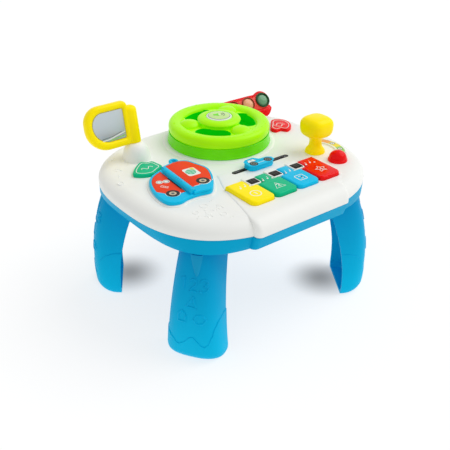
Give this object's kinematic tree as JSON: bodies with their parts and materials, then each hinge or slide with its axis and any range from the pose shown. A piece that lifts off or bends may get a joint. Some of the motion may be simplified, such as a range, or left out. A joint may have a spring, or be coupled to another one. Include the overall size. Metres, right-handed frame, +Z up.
{
  "type": "toy activity table",
  "caption": "Toy activity table: round-cornered white play top on a blue housing with bowed hollow legs; turning wheel, piano keys, slider, mirror, gear lever, flip book, press buttons",
  "frame": {"origin": "middle of the bounding box's lower face, on the floor between the feet", "axes": "+X runs to the right along the row of keys, +Y runs from the keys to the back, +Z is up"},
  "size_m": [0.377, 0.331, 0.2938],
  "materials": {
    "white_shell": "smooth satin moulded white",
    "blue_plastic": "satin moulded blue",
    "yellow_plastic": "glossy moulded yellow",
    "green_wheel": "glossy moulded lime green",
    "deep_green": "glossy moulded green",
    "red_plastic": "glossy moulded red",
    "teal_plastic": "glossy moulded teal",
    "cyan_plastic": "glossy moulded light blue",
    "orange_page": "printed orange sheet",
    "charcoal": "dark matt plastic",
    "steel": "plain bright steel",
    "rubber": "soft grey rubber",
    "mirror_film": "silvered plastic sheet",
    "pale_cap": "pale green printed cap",
    "salmon_panel": "tinted glossy panel",
    "amber_print": "amber tinted plastic",
    "green_lens": "green tinted lens",
    "circuit": "green fibre board"
  },
  "bodies": {
    "table": {"top_shell": "white_shell", "lower_housing": "blue_plastic", "leg_front_left": "blue_plastic", "leg_front_right": "blue_plastic", "leg_back_left": "blue_plastic", "leg_back_right": "blue_plastic", "wheel_base": "deep_green", "wheel_axle": "steel", "key_hinge_rod": "steel", "black_key_1": "charcoal", "black_key_2": "charcoal", "black_key_3": "charcoal", "mirror_pin": "steel", "gear_dial": "amber_print", "book_tray": "blue_plastic", "book_page": "orange_page", "book_pin": "steel", "traffic_housing": "red_plastic", "traffic_face": "salmon_panel", "lens_red": "red_plastic", "lens_amber": "amber_print", "lens_green": "green_lens", "battery_cover": "blue_plastic", "battery_cover_screw": "steel", "battery_1": "steel", "battery_2": "steel", "battery_3": "steel", "housing_screw_1": "steel", "housing_screw_2": "steel", "housing_screw_3": "steel", "housing_screw_4": "steel", "speaker": "charcoal", "circuit_board": "circuit", "key_pad_1": "rubber", "key_pad_2": "rubber", "key_pad_3": "rubber", "key_pad_4": "rubber", "dome_pad": "rubber", "green_pad": "rubber", "red_pad": "rubber"},
    "wheel": {"steering_wheel": "green_wheel"},
    "horn": {"horn_button": "pale_cap"},
    "yellow_key": {"key_yellow": "yellow_plastic"},
    "teal_key": {"key_teal": "teal_plastic"},
    "blue_key": {"key_blue": "cyan_plastic"},
    "red_key": {"key_red": "red_plastic"},
    "slider": {"slider_car": "cyan_plastic", "slider_clip": "white_shell"},
    "mirror": {"mirror_frame": "yellow_plastic", "mirror_glass": "mirror_film"},
    "gear_lever": {"gear_knob": "yellow_plastic", "gear_retainer": "white_shell"},
    "dome": {"dome_button": "red_plastic"},
    "green_press": {"green_button": "teal_plastic"},
    "red_press": {"red_button": "red_plastic"},
    "leaf": {"book_leaf": "blue_plastic", "leaf_page": "orange_page"},
    "switch": {"power_switch": "charcoal"}
  },
  "joints": [
    {"name": "wheel_turn", "type": "hinge", "parent": "table", "child": "wheel", "pos_m": [0.0305, 0.0735, 0.232], "axis": [0, 0, 1], "continuous": true},
    {"name": "horn_press", "type": "slide", "parent": "wheel", "child": "horn", "axis": [0, 0, -1], "range_m": [0, 0.002], "stiffness_N_per_m": 250, "springref_m": -0.002},
    {"name": "yellow_key_press", "type": "hinge", "parent": "table", "child": "yellow_key", "pos_m": [-0.04625, -0.0595, 0.1995], "axis": [1, 0, 0], "range_deg": [0, 3], "stiffness_Nm_per_rad": 0.6, "springref_deg": -3.44},
    {"name": "teal_key_press", "type": "hinge", "parent": "table", "child": "teal_key", "pos_m": [-0.00575, -0.0595, 0.1995], "axis": [1, 0, 0], "range_deg": [0, 3], "stiffness_Nm_per_rad": 0.6, "springref_deg": -3.44},
    {"name": "blue_key_press", "type": "hinge", "parent": "table", "child": "blue_key", "pos_m": [0.03475, -0.0595, 0.1995], "axis": [1, 0, 0], "range_deg": [0, 3], "stiffness_Nm_per_rad": 0.6, "springref_deg": -3.44},
    {"name": "red_key_press", "type": "hinge", "parent": "table", "child": "red_key", "pos_m": [0.07525, -0.0595, 0.1995], "axis": [1, 0, 0], "range_deg": [0, 3], "stiffness_Nm_per_rad": 0.6, "springref_deg": -3.44},
    {"name": "slider_run", "type": "slide", "parent": "table", "child": "slider", "axis": [1, 0, 0], "range_m": [-0.039, 0.051]},
    {"name": "mirror_swing", "type": "hinge", "parent": "table", "child": "mirror", "pos_m": [-0.1065, 0.0985, 0.2306], "axis": [0, 0.2079, 0.9781], "range_deg": [-45, 60]},
    {"name": "gear_turn", "type": "hinge", "parent": "table", "child": "gear_lever", "pos_m": [0.1205, -0.0465, 0.23], "axis": [0, 0, 1], "range_deg": [-45, 45]},
    {"name": "dome_press", "type": "slide", "parent": "table", "child": "dome", "axis": [0, 0, -1], "range_m": [0, 0.003], "stiffness_N_per_m": 250, "springref_m": -0.003},
    {"name": "green_press_down", "type": "slide", "parent": "table", "child": "green_press", "axis": [0, 0, -1], "range_m": [0, 0.002], "stiffness_N_per_m": 300, "springref_m": -0.002},
    {"name": "red_press_down", "type": "slide", "parent": "table", "child": "red_press", "axis": [0, 0, -1], "range_m": [0, 0.002], "stiffness_N_per_m": 300, "springref_m": -0.002},
    {"name": "leaf_turn", "type": "hinge", "parent": "table", "child": "leaf", "pos_m": [-0.1105, -0.0195, 0.2158], "axis": [-0.0802, -0.9968, 0], "range_deg": [0, 160]},
    {"name": "switch_slide", "type": "slide", "parent": "table", "child": "switch", "axis": [1, 0, 0], "range_m": [-0.002, 0.002]}
  ]
}
